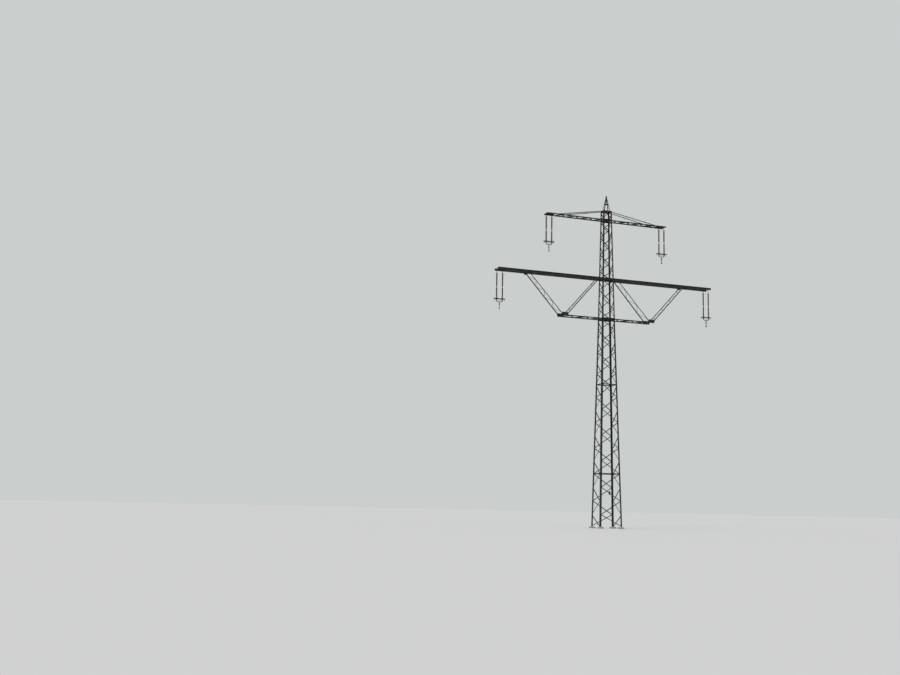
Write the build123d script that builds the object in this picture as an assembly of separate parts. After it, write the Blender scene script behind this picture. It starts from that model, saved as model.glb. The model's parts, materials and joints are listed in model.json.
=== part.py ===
"""Lattice transmission pylon with three crossarms and four double suspension sets.

Millimetres. +X runs along the crossarms, +Y along the line, +Z up. The origin is on the
ground, midway between the four legs. The body is a tapering rectangular tube of four corner
angles, with single bracing that turns round it: at every level each leg takes one bar end
from each of its two faces.
"""
from build123d import *
import math
import os

# Levels above the ground
first_ring_level = 5040.0
second_ring_level = 13450.0
bottom_arm_level = 19740.0
main_arm_level = 23640.0
top_arm_level = 29470.0
body_top_level = 30430.0

# Bracing panels below each of those levels
first_ring_count = 4
second_ring_count = 7
bottom_arm_count = 6
main_arm_count = 4
top_arm_count = 7
head_count = 1

# Plan size of the body, over the outer faces of its legs
base_width = 2315.0
waist_width = 1335.0
head_width = 890.0
base_depth = 1755.0
waist_depth = 910.0
head_depth = 620.0

# Corner angles and bracing angles
lower_leg_flange = 150.0
lower_leg_thickness = 15.0
upper_leg_flange = 120.0
upper_leg_thickness = 12.0
brace_width = 70.0
brace_thickness = 7.0
brace_stand = 45.0
flange_clear = 120.0
ring_height = 90.0
head_ring_height = 130.0

# Concrete heads of the foundations
foundation_size = 460.0
foundation_height = 140.0
foundation_chamfer = 25.0

# Peak that carries the earth wire
peak_height = 1230.0
peak_ring_rise = 650.0
peak_ring_height = 70.0
peak_inset = 115.0
peak_flange = 62.0
peak_thickness = 6.0
peak_top_half = 68.0
head_plate_width = 180.0
stub_height = 270.0
stub_width = 150.0
stub_seat = 180.0
earth_clamp_height = 80.0
earth_clamp_width = 100.0
earth_clamp_length = 170.0
earth_wire_bore = 16.0

# Main crossarm
main_arm_length = 22960.0
main_chord_height = 198.0
main_chord_flange = 75.0
main_chord_thickness = 9.0
main_lacing_pitch = 950.0

# Top crossarm
top_arm_length = 12950.0
top_chord_height = 102.0
top_chord_flange = 50.0
top_chord_thickness = 7.0
top_lacing_pitch = 780.0

# Ties of the top crossarm
tie_end_inset = 1000.0
tie_width = 70.0
tie_thickness = 8.0
tie_head_offset = 215.0
tie_tab_width = 110.0

# Bottom crossarm
bottom_arm_length = 9900.0
bottom_chord_height = 94.0
bottom_chord_flange = 55.0
bottom_chord_thickness = 7.0
bottom_lacing_pitch = 860.0

# Struts between the bottom and the main crossarm
outer_foot_inset = 130.0
outer_head_inset = 3180.0
inner_foot_inset = 500.0
inner_head_gap = 470.0
strut_width = 75.0
strut_thickness = 8.0
strut_stand = 55.0
strut_seat = 6.0
outer_lacing_pitch = 640.0
inner_lacing_pitch = 870.0
strut_lacing_end = 330.0
strut_lacing_width = 45.0

# Plates where the struts meet the crossarms and the crossarms meet the body
gusset_thickness = 8.0
foot_gusset_height = 250.0
foot_gusset_length = 800.0
head_gusset_height = 120.0
head_gusset_length = 420.0
gusset_stand = 6.0
crossing_plate_height = 240.0
end_plate_length = 950.0

# Lacing bars of the crossarms and struts
lacing_width = 60.0
lacing_thickness = 6.0
lacing_seat = 20.0
lacing_stand = 50.0
fewest_bays = 2

# Bare plate on the front bracing
plate_level = 3250.0
plate_offset = -150.0
plate_width = 180.0
plate_height = 320.0
plate_thickness = 3.0

# Cross beams that carry the insulator strings
string_spacing = 580.0
beam_end_inset = 60.0
beam_height = 65.0
beam_width = 60.0
beam_thickness = 7.0
lug_width = 64.0
lug_thickness = 16.0
main_pivot_hang = 130.0
top_pivot_hang = 49.0
lug_corner_cut = 18.0
lug_pin_diameter = 20.0

# Long-rod insulators
rod_hang = 210.0
rod_length = 1200.0
post_sides = 8
rod_core_diameter = 90.0
rod_cap_diameter = 110.0
rod_cap_height = 90.0

# Fittings of each string
mid_link_length = 130.0
link_diameter = 44.0
cheek_width = 52.0
cheek_thickness = 10.0
ring_rise = 150.0
ring_length = 500.0
ring_breadth = 290.0
ring_tube = 62.0
ring_arm = 22.0
ring_sides = 10
lower_stem = 30.0
lower_fitting_length = 101.0

# Yoke plate and conductor clamps
yoke_thickness = 16.0
yoke_width = 64.0
yoke_depth = 75.0
yoke_corner = 130.0
strap_width = 50.0
strap_thickness = 12.0
first_clamp_drop = 235.0
clamp_spacing = 400.0
clamp_length = 240.0
clamp_mouth_length = 120.0
clamp_height = 84.0
clamp_lip = 34.0
clamp_width = 56.0
conductor_bore = 22.0

# Clearances
seat_gap = 0.3
pin_clearance = 0.05
cheek_gap = 1.0

SIDES = ("front", "right", "back", "left")
CORNERS = {
    "front_left": (-1, -1),
    "front_right": (1, -1),
    "back_right": (1, 1),
    "back_left": (-1, 1),
}


def between(value, low, high, at_low, at_high):
    """Value on the straight line between two known points."""
    return at_low + (at_high - at_low) * (value - low) / (high - low)


def half_width(level):
    """Half of the body's width along X at a level."""
    if level <= bottom_arm_level:
        return between(level, 0, bottom_arm_level, base_width, waist_width) / 2
    return between(level, bottom_arm_level, body_top_level, waist_width, head_width) / 2


def half_depth(level):
    """Half of the body's depth along Y at a level."""
    if level <= bottom_arm_level:
        return between(level, 0, bottom_arm_level, base_depth, waist_depth) / 2
    return between(level, bottom_arm_level, body_top_level, waist_depth, head_depth) / 2


def node_levels():
    """Heights where the bracing of every face meets a leg."""
    stops = (
        (0.0, first_ring_level, first_ring_count),
        (first_ring_level, second_ring_level, second_ring_count),
        (second_ring_level, bottom_arm_level, bottom_arm_count),
        (bottom_arm_level, main_arm_level, main_arm_count),
        (main_arm_level, top_arm_level, top_arm_count),
        (top_arm_level, body_top_level, head_count),
    )
    levels = [0.0]
    for low, high, count in stops:
        for panel in range(1, count + 1):
            levels.append(low + (high - low) * panel / count)
    return levels


def flat_bar(start, end, width, lap=0.0):
    """Outline of a straight bar between two points of a plane, longer by lap at each end."""
    run = Vector(*end, 0) - Vector(*start, 0)
    middle = (Vector(*end, 0) + Vector(*start, 0)) * 0.5
    angle = math.degrees(math.atan2(run.Y, run.X))
    return Pos(middle) * Rot(0, 0, angle) * Rectangle(run.length + 2 * lap, width)


def folded_strip(points, width):
    """Outline of a strip that folds at every point of a row, mitred there and lapped at its ends."""
    runs = [(Vector(*b, 0) - Vector(*a, 0)).normalized() for a, b in zip(points, points[1:])]
    sides = [Vector(-run.Y, run.X, 0) for run in runs]
    left = []
    right = []
    for index, point in enumerate(points):
        before = sides[max(index - 1, 0)]
        after = sides[min(index, len(sides) - 1)]
        mitre = (before + after).normalized()
        reach = mitre * (width / 2 / mitre.dot(after))
        centre = Vector(*point, 0)
        if index == 0:
            centre -= runs[0] * (width / 2)
        if index == len(runs):
            centre += runs[-1] * (width / 2)
        left.append(centre + reach)
        right.append(centre - reach)
    return Polygon(*right, *reversed(left), align=None)


def standing_flange(start, end, width, thickness, short):
    """Outline of the flange that stands on the lower edge of a bar, clear of its ends."""
    left, right = sorted((start, end))
    run = Vector(*right, 0) - Vector(*left, 0)
    middle = (Vector(*right, 0) + Vector(*left, 0)) * 0.5
    angle = math.degrees(math.atan2(run.Y, run.X))
    strip = Rectangle(run.length - 2 * short, thickness)
    return Pos(middle) * Rot(0, 0, angle) * Pos(0, (thickness - width) / 2) * strip


def angle_section(x_side, y_side, flange_x, flange_y, thickness_x, thickness_y):
    """Angle profile with its outer corner on the origin and its flanges towards the middle."""
    along_x = Rectangle(flange_x, thickness_y, align=(Align.MIN, Align.MIN))
    along_y = Rectangle(thickness_x, flange_y, align=(Align.MIN, Align.MIN))
    section = along_x + along_y
    if x_side > 0:
        section = section.mirror(Plane.YZ)
    if y_side > 0:
        section = section.mirror(Plane.XZ)
    return section


def inclined(section, start, end):
    """Level profile pushed along the straight line between two points."""
    run = end - start
    return extrude(Pos(start) * section, amount=run.length, dir=run)


def face_plane(side, low, high):
    """Plane of one face of the body, +X across it, +Y up the slope, +Z outwards."""
    turn = 90 * SIDES.index(side)
    half = half_depth if side in ("front", "back") else half_width
    lean = math.degrees(math.atan2(half(low) - half(high), high - low))
    return Plane(Location((0, 0, low)) * Rot(0, 0, turn) * Pos(0, -half(low), 0) * Rot(90 - lean, 0, 0))


def leg(corner):
    """One corner angle, in two straight lengths that meet at the bottom crossarm."""
    x_side, y_side = CORNERS[corner]
    lengths = []
    for low, high, flange, thickness in (
        (foundation_height, bottom_arm_level, lower_leg_flange, lower_leg_thickness),
        (bottom_arm_level, body_top_level, upper_leg_flange, upper_leg_thickness),
    ):
        start = Vector(x_side * half_width(low), y_side * half_depth(low), low)
        end = Vector(x_side * half_width(high), y_side * half_depth(high), high)
        section = angle_section(x_side, y_side, flange, flange, thickness, thickness)
        lengths.append(inclined(section, start, end))
    return lengths[0] + lengths[1]


def zigzag(side, first, last, foot_gap, head_gap, leg_flange, rings=()):
    """Single bracing of one face between two node levels, with any level bars, as one solid."""
    levels = node_levels()
    low = levels[first]
    across = half_width if side in ("front", "back") else half_depth
    plane = face_plane(side, low, levels[last])
    slope = plane.y_dir.Z
    points = []
    for index in range(first, last + 1):
        level = levels[index] + (foot_gap if index == first else 0) - (head_gap if index == last else 0)
        hand = 1 if index % 2 == 0 else -1
        points.append((hand * (across(level) - leg_flange / 2), (level - low) / slope))
    web = folded_strip(points, brace_width)
    stand = Sketch()
    for start, end in zip(points, points[1:]):
        stand += standing_flange(start, end, brace_width, brace_thickness, flange_clear)
    for level, height in rings:
        reach = across(level) - brace_thickness
        middle = (level - low) / slope
        web += flat_bar((-reach, middle), (reach, middle), height)
    return extrude(plane * web, brace_thickness) + extrude(plane * stand, brace_stand)


def lower_braces(side):
    """Bracing of one face from the foundation to the bottom crossarm."""
    foot_gap = foundation_height + brace_width
    head_gap = crossing_plate_height / 2 + brace_width
    rings = [(first_ring_level, ring_height), (second_ring_level, ring_height)]
    if side in ("left", "right"):
        rings.append((bottom_arm_level - ring_height / 2 - seat_gap, ring_height))
    last = first_ring_count + second_ring_count + bottom_arm_count
    return zigzag(side, 0, last, foot_gap, head_gap, lower_leg_flange, rings)


def upper_braces(side):
    """Bracing of one face above the bottom crossarm, one solid between each pair of arms."""
    bottom = first_ring_count + second_ring_count + bottom_arm_count
    main = bottom + main_arm_count
    top = main + top_arm_count
    head = top + head_count
    gap = crossing_plate_height / 2 + brace_width
    side_rings = side in ("left", "right")
    main_rings = [(main_arm_level - gap, ring_height)] if side_rings else []
    top_rings = [(top_arm_level - gap, ring_height)] if side_rings else []
    head_rings = [(body_top_level - head_ring_height / 2 - brace_thickness, head_ring_height)]
    return [
        zigzag(side, bottom, main, gap, gap, upper_leg_flange, main_rings),
        zigzag(side, main, top, gap, gap, upper_leg_flange, top_rings),
        zigzag(side, top, head, gap, head_ring_height / 2, upper_leg_flange, head_rings),
    ]


def foundation_heads():
    """Concrete heads in which the legs stand."""
    head = extrude(Rectangle(foundation_size, foundation_size), foundation_height)
    head = chamfer(head.faces().sort_by(Axis.Z)[-1].edges(), foundation_chamfer)
    inset = lower_leg_flange / 2
    heads = []
    for x_side, y_side in CORNERS.values():
        x = x_side * (half_width(foundation_height) - inset)
        y = y_side * (half_depth(foundation_height) - inset)
        heads.append(Pos(x, y, 0) * head)
    return heads


def plate_back(level):
    """Distance from the middle of the body to the back of a crossing plate."""
    return half_depth(level - crossing_plate_height / 2) + seat_gap


def chord_back(level):
    """Distance from the middle of the body to the back of a crossarm chord."""
    return plate_back(level) + gusset_thickness + seat_gap


def arm_chords(level, height, flange, thickness, length):
    """Two channels of a crossarm, their backs against the legs and their flanges outwards."""
    web = Pos(thickness / 2, 0) * Rectangle(thickness, height)
    rail = Pos(flange / 2, (height - thickness) / 2) * Rectangle(flange, thickness)
    profile = web + rail + rail.mirror(Plane.XZ)
    chord = extrude(Plane.YZ * profile, length / 2, both=True)
    back = Pos(0, chord_back(level), level) * chord
    return [back.mirror(Plane.XZ), back]


def arm_lacing(level, height, length, pitch, end_inset, stand=0.0):
    """Zigzag bars under both wings of a crossarm, clear of the body, flat or with a flange up."""
    reach = chord_back(level) + lacing_seat
    start_x = half_width(level) + brace_stand + lacing_width
    end_x = length / 2 - end_inset
    bays = max(fewest_bays, round((end_x - start_x) / pitch))
    points = []
    for fold in range(bays + 1):
        hand = -1 if fold % 2 == 0 else 1
        points.append((between(fold, 0, bays, start_x, end_x), hand * reach))
    right = extrude(folded_strip(points, lacing_width), lacing_thickness)
    if stand:
        flanges = Sketch()
        for start, end in zip(points, points[1:]):
            flanges += standing_flange(start, end, lacing_width, lacing_thickness, lacing_width + stand)
        right += extrude(flanges, stand)
    right = Pos(0, 0, level - height / 2 - lacing_thickness) * right
    return [right, right.mirror(Plane.YZ)]


def top_ties():
    """Sloping ties from tabs on the side bands of the head down between the top chords."""
    head_z = body_top_level - head_ring_height / 2 - brace_thickness
    tab_x = half_width(head_z - head_ring_height / 2) + brace_thickness + seat_gap
    foot_x = top_arm_length / 2 - tie_end_inset
    foot_y = chord_back(top_arm_level) - seat_gap - tie_thickness / 2
    run = Vector(foot_x - tab_x, foot_y - tie_head_offset, top_arm_level - head_z)
    section = Plane.YZ * Rectangle(tie_thickness, tie_width)
    bar = Pos(tab_x, tie_head_offset, head_z) * extrude(section, amount=run.length, dir=run)
    tab_outline = Plane.YZ * Pos(tie_head_offset, head_z) * Rectangle(tie_tab_width, head_ring_height)
    back = bar + Pos(tab_x, 0, 0) * extrude(tab_outline, tie_thickness)
    ties = [back, back.mirror(Plane.YZ)]
    return ties + [tie.mirror(Plane.XZ) for tie in ties]


def strut(side, foot_x, head_x, pitch):
    """Pair of inclined angles between two crossarms, joined by zigzag lacing."""
    foot_z = bottom_arm_level + bottom_chord_height / 2
    head_z = main_arm_level - main_chord_height / 2
    foot_y = chord_back(bottom_arm_level) + strut_seat
    head_y = chord_back(main_arm_level) + strut_seat
    rise = math.atan2(head_z - foot_z, abs(head_x - foot_x))
    width = strut_width / math.sin(rise)
    wall = strut_thickness / math.sin(rise)
    low_side = 1 if foot_x > head_x else -1
    section = Pos(0, strut_thickness / 2) * Rectangle(width, strut_thickness)
    stand = Pos(low_side * (width - wall) / 2, (strut_thickness - strut_stand) / 2)
    section += stand * Rectangle(wall, strut_stand + strut_thickness)
    back = inclined(section, Vector(foot_x, foot_y, foot_z), Vector(head_x, head_y, head_z))
    front = back.mirror(Plane.XZ)
    run = Vector(head_x - foot_x, 0, head_z - foot_z)
    middle = Vector((foot_x + head_x) / 2, 0, (foot_z + head_z) / 2)
    face = Plane(origin=middle, x_dir=run.normalized(), z_dir=run.normalized().cross(Vector(0, 1, 0)))
    usable = run.length - 2 * strut_lacing_end
    bays = max(fewest_bays, round(usable / pitch))
    outline = Sketch()

    def seat(along):
        return between(along, -run.length / 2, run.length / 2, foot_y, head_y) + strut_thickness / 2

    for bay in range(bays):
        here = -usable / 2 + usable * bay / bays
        after = here + usable / bays
        hand = 1 if bay % 2 == 0 else -1
        outline += flat_bar((here, -hand * seat(here)), (after, hand * seat(after)), strut_lacing_width)
    bars = extrude(face * outline, lacing_thickness / 2, both=True)
    pair = front + back + bars
    return pair if side > 0 else pair.mirror(Plane.YZ)


def outer_strut(side):
    """Laced strut from the end of the bottom crossarm out to the main crossarm."""
    foot_x = bottom_arm_length / 2 - outer_foot_inset
    head_x = main_arm_length / 2 - outer_head_inset
    return strut(side, foot_x, head_x, outer_lacing_pitch)


def inner_strut(side):
    """Lighter strut from the bottom crossarm in to the main crossarm beside the body."""
    foot_x = bottom_arm_length / 2 - inner_foot_inset
    head_x = half_width(main_arm_level) + inner_head_gap
    return strut(side, foot_x, head_x, inner_lacing_pitch)


def gusset(length, height, cut):
    """Plate outline on a level edge, with its two far corners cut off."""
    half = length / 2
    return Polygon((-half, 0), (half, 0), (half - cut, height), (-half + cut, height), align=None)


def strut_gussets():
    """Plates that stand on the flanges of the chords, just outside the struts."""
    foot_x = bottom_arm_length / 2 - (outer_foot_inset + inner_foot_inset) / 2
    head_x = main_arm_length / 2 - outer_head_inset
    foot_z = bottom_arm_level + bottom_chord_height / 2 + seat_gap
    head_z = main_arm_level - main_chord_height / 2 - seat_gap
    foot = gusset(foot_gusset_length, foot_gusset_height, foot_gusset_height / 2)
    head = gusset(head_gusset_length, head_gusset_height, head_gusset_height / 2).mirror(Plane.XZ)
    lift = strut_seat + strut_thickness + gusset_stand
    plates = []
    for outline, x, z, back in (
        (foot, foot_x, foot_z, chord_back(bottom_arm_level)),
        (head, head_x, head_z, chord_back(main_arm_level)),
    ):
        plate = extrude(Plane.XZ * Pos(x, z) * outline, gusset_thickness)
        right = Pos(0, -back - lift, 0) * plate
        pair = [right, right.mirror(Plane.YZ)]
        plates += pair + [plate.mirror(Plane.XZ) for plate in pair]
    return plates


def crossing_plates():
    """Plates between the chords and the front and back of the body at each crossarm."""
    plates = []
    for level in (bottom_arm_level, main_arm_level, top_arm_level):
        width = 2 * half_width(level + crossing_plate_height / 2)
        outline = Pos(0, level) * Rectangle(width, crossing_plate_height)
        front = Pos(0, -plate_back(level), 0) * extrude(Plane.XZ * outline, gusset_thickness)
        plates += [front, front.mirror(Plane.XZ)]
    return plates


def end_plates():
    """Plates on the chords of the top crossarm, over the hangers at its two ends."""
    breadth = 2 * (chord_back(top_arm_level) + top_chord_flange)
    x = (top_arm_length - end_plate_length) / 2
    z = top_arm_level + top_chord_height / 2 + seat_gap
    plate = Pos(x, 0, z) * extrude(Rectangle(end_plate_length, breadth), gusset_thickness)
    return [plate, plate.mirror(Plane.YZ)]


def earth_wire_peak():
    """Four leaning angles over the body, a ring halfway, and the stub with the wire clamp."""
    low_x = head_width / 2 - peak_inset
    low_y = head_depth / 2 - peak_inset
    top_level = body_top_level + peak_height
    frame = Rectangle(head_width, head_depth)
    frame -= Rectangle(head_width - 2 * head_plate_width, head_depth - 2 * head_plate_width)
    solid = Pos(0, 0, body_top_level + seat_gap) * extrude(frame, peak_thickness)
    for x_side, y_side in CORNERS.values():
        start = Vector(x_side * low_x, y_side * low_y, body_top_level + seat_gap)
        end = Vector(x_side * peak_top_half, y_side * peak_top_half, top_level)
        section = angle_section(x_side, y_side, peak_flange, peak_flange, peak_thickness, peak_thickness)
        solid += inclined(section, start, end)
    ring_x = between(peak_ring_rise, 0, peak_height, low_x, peak_top_half)
    ring_y = between(peak_ring_rise, 0, peak_height, low_y, peak_top_half)
    ring = Rectangle(2 * ring_x, 2 * ring_y)
    ring -= Rectangle(2 * (ring_x - peak_thickness), 2 * (ring_y - peak_thickness))
    solid += Pos(0, 0, body_top_level + peak_ring_rise) * extrude(ring, peak_ring_height)
    cap = extrude(Rectangle(2 * peak_top_half, 2 * peak_top_half), -peak_thickness)
    solid += Pos(0, 0, top_level) * cap
    clamp_level = top_level + stub_height - earth_clamp_height / 2
    stub = extrude(RegularPolygon(stub_width / 2, post_sides), clamp_level - top_level + stub_seat)
    solid += Pos(0, 0, top_level - stub_seat) * stub
    profile = Rectangle(earth_clamp_width, earth_clamp_height) - Circle(earth_wire_bore / 2)
    clamp = Pos(0, 0, clamp_level) * extrude(Plane.XZ * profile, earth_clamp_length / 2, both=True)
    cut = Cylinder(earth_wire_bore / 2, earth_clamp_length, rotation=(90, 0, 0))
    return solid - Pos(0, 0, clamp_level) * cut + clamp


def bare_plate():
    """Small plate on the front bracing, without any sign on it."""
    plane = face_plane("front", 0, bottom_arm_level)
    height = plate_level / plane.y_dir.Z
    outline = Pos(plate_offset, height) * Rectangle(plate_width, plate_height)
    lift = Pos(0, 0, brace_stand + seat_gap)
    return extrude(Plane(plane.location * lift) * outline, plate_thickness)


def arm_sets():
    """Name, reach and pivot level of each suspension set."""
    half_spacing = string_spacing / 2
    sets = []
    for arm, level, height, length, hang in (
        ("main", main_arm_level, main_chord_height, main_arm_length, main_pivot_hang),
        ("top", top_arm_level, top_chord_height, top_arm_length, top_pivot_hang),
    ):
        reach = length / 2 - beam_end_inset - half_spacing
        pivot = level - height / 2 - hang
        sets.append((f"{arm}_left", -reach, pivot))
        sets.append((f"{arm}_right", reach, pivot))
    return sets


def string_hangers():
    """Cross beams between the chords, each with a lug and pin hole for one string."""
    half = lug_width / 2
    wall_x = (beam_thickness - beam_width) / 2
    hangers = []
    for name, reach, pivot in arm_sets():
        level = main_arm_level if "main" in name else top_arm_level
        shoulder = level - pivot + beam_height / 2 - beam_thickness
        outline = Polygon(
            (-half, shoulder), (-half, lug_corner_cut - half), (lug_corner_cut - half, -half),
            (half - lug_corner_cut, -half), (half, lug_corner_cut - half), (half, shoulder), align=None)
        outline -= Circle(lug_pin_diameter / 2)
        lug = extrude(Plane.YZ * outline, lug_thickness / 2, both=True)
        span = 2 * (chord_back(level) - seat_gap)
        top = Pos(0, 0, (beam_height - beam_thickness) / 2) * Box(beam_width, span, beam_thickness)
        wall = Pos(wall_x, 0, 0) * Box(beam_thickness, span, beam_height)
        beam = Pos(0, 0, level - pivot) * (top + wall)
        for end in (-1, 1):
            hangers.append(Pos(reach + end * string_spacing / 2, 0, pivot) * (beam + lug))
    return hangers


def prism(diameter, height):
    """Few-sided post that stands on the origin."""
    return extrude(RegularPolygon(diameter / 2, post_sides), height)


def long_rod():
    """One insulator, hanging from the origin: a glazed core between two metal caps."""
    cap = prism(rod_cap_diameter, rod_cap_height)
    core = prism(rod_core_diameter, rod_length)
    lower = Pos(0, 0, -rod_length)
    return lower * core + lower * cap + Pos(0, 0, -rod_cap_height) * cap


def insulators(reach, pivot):
    """Four long rods of a set: two on each string."""
    rod = long_rod()
    rods = []
    for end in (-1, 1):
        for place in (0, 1):
            drop = rod_hang + place * (rod_length + mid_link_length)
            rods.append(Pos(reach + end * string_spacing / 2, 0, pivot - drop) * rod)
    return rods


def rods_end():
    """Drop from the hanger pins to the foot of the lower rods."""
    return rod_hang + 2 * rod_length + mid_link_length


def clevis():
    """Fork with its pin through the hanger lug, from the pin down to the upper rod."""
    inner = lug_thickness / 2 + cheek_gap
    outer = inner + cheek_thickness
    top = rod_hang + cheek_width / 2
    gap_foot = rod_hang - lug_width / 2 - cheek_thickness
    outline = Pos(0, top / 2) * Rectangle(2 * outer, top)
    outline -= Pos(0, gap_foot) * Rectangle(2 * inner, top, align=(Align.CENTER, Align.MIN))
    fork = extrude(Plane.XZ * outline, cheek_width / 2, both=True)
    pin = Cylinder(lug_pin_diameter / 2 - pin_clearance, 2 * inner, rotation=(0, 90, 0))
    return fork + Pos(0, 0, rod_hang) * pin


def mid_link():
    """Short link between the two rods of a string."""
    return Pos(0, 0, mid_link_length / 2) * Box(link_diameter, link_diameter, mid_link_length)


def oval(length, breadth):
    """Outline of an oval with few sides, flat across its two ends."""
    points = []
    for corner in range(ring_sides):
        turn = math.tau * (corner + 1 / 2) / ring_sides
        points.append((length / 2 * math.cos(turn), breadth / 2 * math.sin(turn)))
    return Polygon(*points, align=None)


def lower_fitting():
    """Stem below the lower rod with its raised ring, and the fork that takes the yoke."""
    inner = yoke_thickness / 2 + seat_gap
    outer = inner + cheek_thickness
    outline = Rectangle(2 * outer, lower_fitting_length, align=(Align.CENTER, Align.MAX))
    outline -= Pos(0, -lower_stem) * Rectangle(
        2 * inner, lower_fitting_length, align=(Align.CENTER, Align.MAX))
    fork = extrude(Plane.YZ * outline, cheek_width / 2, both=True)
    arm = Box(ring_length, ring_arm, ring_arm, align=(Align.CENTER, Align.CENTER, Align.MAX))
    post = Box(ring_arm, ring_arm, ring_rise + ring_arm, align=(Align.CENTER, Align.CENTER, Align.MIN))
    rim = oval(ring_length + ring_tube, ring_breadth + ring_tube)
    rim -= oval(ring_length - ring_tube, ring_breadth - ring_tube)
    ring = Pos(0, 0, ring_rise) * extrude(rim, ring_tube / 2, both=True)
    solid = fork + arm + ring
    for hand in (-1, 1):
        solid += Pos(hand * (ring_length - ring_arm) / 2, 0, -ring_arm) * post
    return solid


def string_fittings(reach, pivot):
    """Clevis, middle link and lower fitting of both strings of a set."""
    pieces = (
        (clevis(), rod_hang),
        (mid_link(), rod_hang + rod_length + mid_link_length),
        (lower_fitting(), rods_end()),
    )
    solids = []
    for end in (-1, 1):
        for piece, drop in pieces:
            solids.append(Pos(reach + end * string_spacing / 2, 0, pivot - drop) * piece)
    return solids


def yoke_drop():
    """Drop from the hanger pins to the upper corners of the yoke."""
    return rods_end() + lower_fitting_length - cheek_width / 2


def yoke_plate(reach, pivot):
    """U-shaped plate that joins the two strings and carries the clamps."""
    half = string_spacing / 2
    top = -yoke_drop()
    low = top - yoke_depth
    inner = half - yoke_corner
    outline = flat_bar((-half, top), (-inner, low), yoke_width, yoke_width / 3)
    outline += flat_bar((half, top), (inner, low), yoke_width, yoke_width / 3)
    outline += flat_bar((-inner, low), (inner, low), yoke_width)
    plate = extrude(Plane.XZ * outline, yoke_thickness / 2, both=True)
    return Pos(reach, 0, pivot) * plate


def conductor_clamps(reach, pivot):
    """Fork over the yoke with two stacked boat clamps, each with a bore for one conductor."""
    first = yoke_drop() + yoke_depth + first_clamp_drop
    last = first + clamp_spacing
    inner = yoke_thickness / 2 + seat_gap
    top = -(yoke_drop() + yoke_depth - strap_width / 2)
    solid = None
    for hand in (-1, 1):
        height = first + top
        plate = Pos(0, hand * (inner + strap_thickness / 2), top - height / 2)
        strap = plate * Box(strap_width, strap_thickness, height)
        solid = strap if solid is None else solid + strap
    side = clamp_width / 2 + strap_thickness / 2
    for hand in (-1, 1):
        place = Pos(hand * side, 0, -(first + last) / 2)
        solid += place * Box(strap_thickness, strap_width, clamp_spacing + clamp_height)
    half = clamp_length / 2
    mouth = clamp_mouth_length / 2
    boat = Polygon(
        (-half, clamp_lip), (-half, 0), (-mouth, -clamp_height / 2), (mouth, -clamp_height / 2),
        (half, 0), (half, clamp_lip), (mouth, clamp_height / 2), (-mouth, clamp_height / 2), align=None)
    body = extrude(Plane.YZ * boat, clamp_width / 2, both=True)
    bore = Cylinder(conductor_bore / 2, 2 * clamp_length, rotation=(90, 0, 0))
    for drop in (first, last):
        solid += Pos(0, 0, -drop) * body
    for drop in (first, last):
        solid -= Pos(0, 0, -drop) * bore
    return Pos(reach, 0, pivot) * solid


def solids_of(shape):
    """Every solid of a shape or list of shapes."""
    shapes = shape if isinstance(shape, list) else [shape]
    return [solid for item in shapes for solid in item.solids()]


def save(name, shape):
    """Write one named piece as a STEP file."""
    solids = solids_of(shape)
    model = solids[0] if len(solids) == 1 else Compound(children=solids)
    export_step(model, f"parts/{name}.step")


def main():
    os.makedirs("parts", exist_ok=True)
    save("foundation_heads", foundation_heads())
    for corner in CORNERS:
        save(f"leg_{corner}", leg(corner))
    for side in SIDES:
        save(f"braces_{side}_lower", lower_braces(side))
        save(f"braces_{side}_upper", upper_braces(side))
    save("earth_wire_peak", earth_wire_peak())
    main_arm = (main_arm_level, main_chord_height)
    top_arm = (top_arm_level, top_chord_height)
    bottom_arm = (bottom_arm_level, bottom_chord_height)
    save("main_arm_chords", arm_chords(
        *main_arm, main_chord_flange, main_chord_thickness, main_arm_length))
    save("top_arm_chords", arm_chords(
        *top_arm, top_chord_flange, top_chord_thickness, top_arm_length))
    save("bottom_arm_chords", arm_chords(
        *bottom_arm, bottom_chord_flange, bottom_chord_thickness, bottom_arm_length))
    string_room = beam_end_inset + string_spacing + beam_width + lacing_width
    save("main_arm_lacing", arm_lacing(*main_arm, main_arm_length, main_lacing_pitch, string_room))
    save("top_arm_lacing", arm_lacing(
        *top_arm, top_arm_length, top_lacing_pitch, string_room, lacing_stand))
    save("bottom_arm_lacing", arm_lacing(
        *bottom_arm, bottom_arm_length, bottom_lacing_pitch, lacing_width, lacing_stand))
    save("top_arm_ties", top_ties())
    for name, side in (("left", -1), ("right", 1)):
        save(f"outer_strut_{name}", outer_strut(side))
        save(f"inner_strut_{name}", inner_strut(side))
    save("gusset_plates", strut_gussets() + crossing_plates() + end_plates())
    save("string_hangers", string_hangers())
    save("bare_plate", bare_plate())
    for name, reach, pivot in arm_sets():
        save(f"insulators_{name}", insulators(reach, pivot))
        save(f"string_fittings_{name}", string_fittings(reach, pivot))
        save(f"yoke_{name}", yoke_plate(reach, pivot))
        save(f"conductor_clamps_{name}", conductor_clamps(reach, pivot))


main()
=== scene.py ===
import bpy
import bmesh
import json
import math
import random
from mathutils import Matrix, Vector


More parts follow.
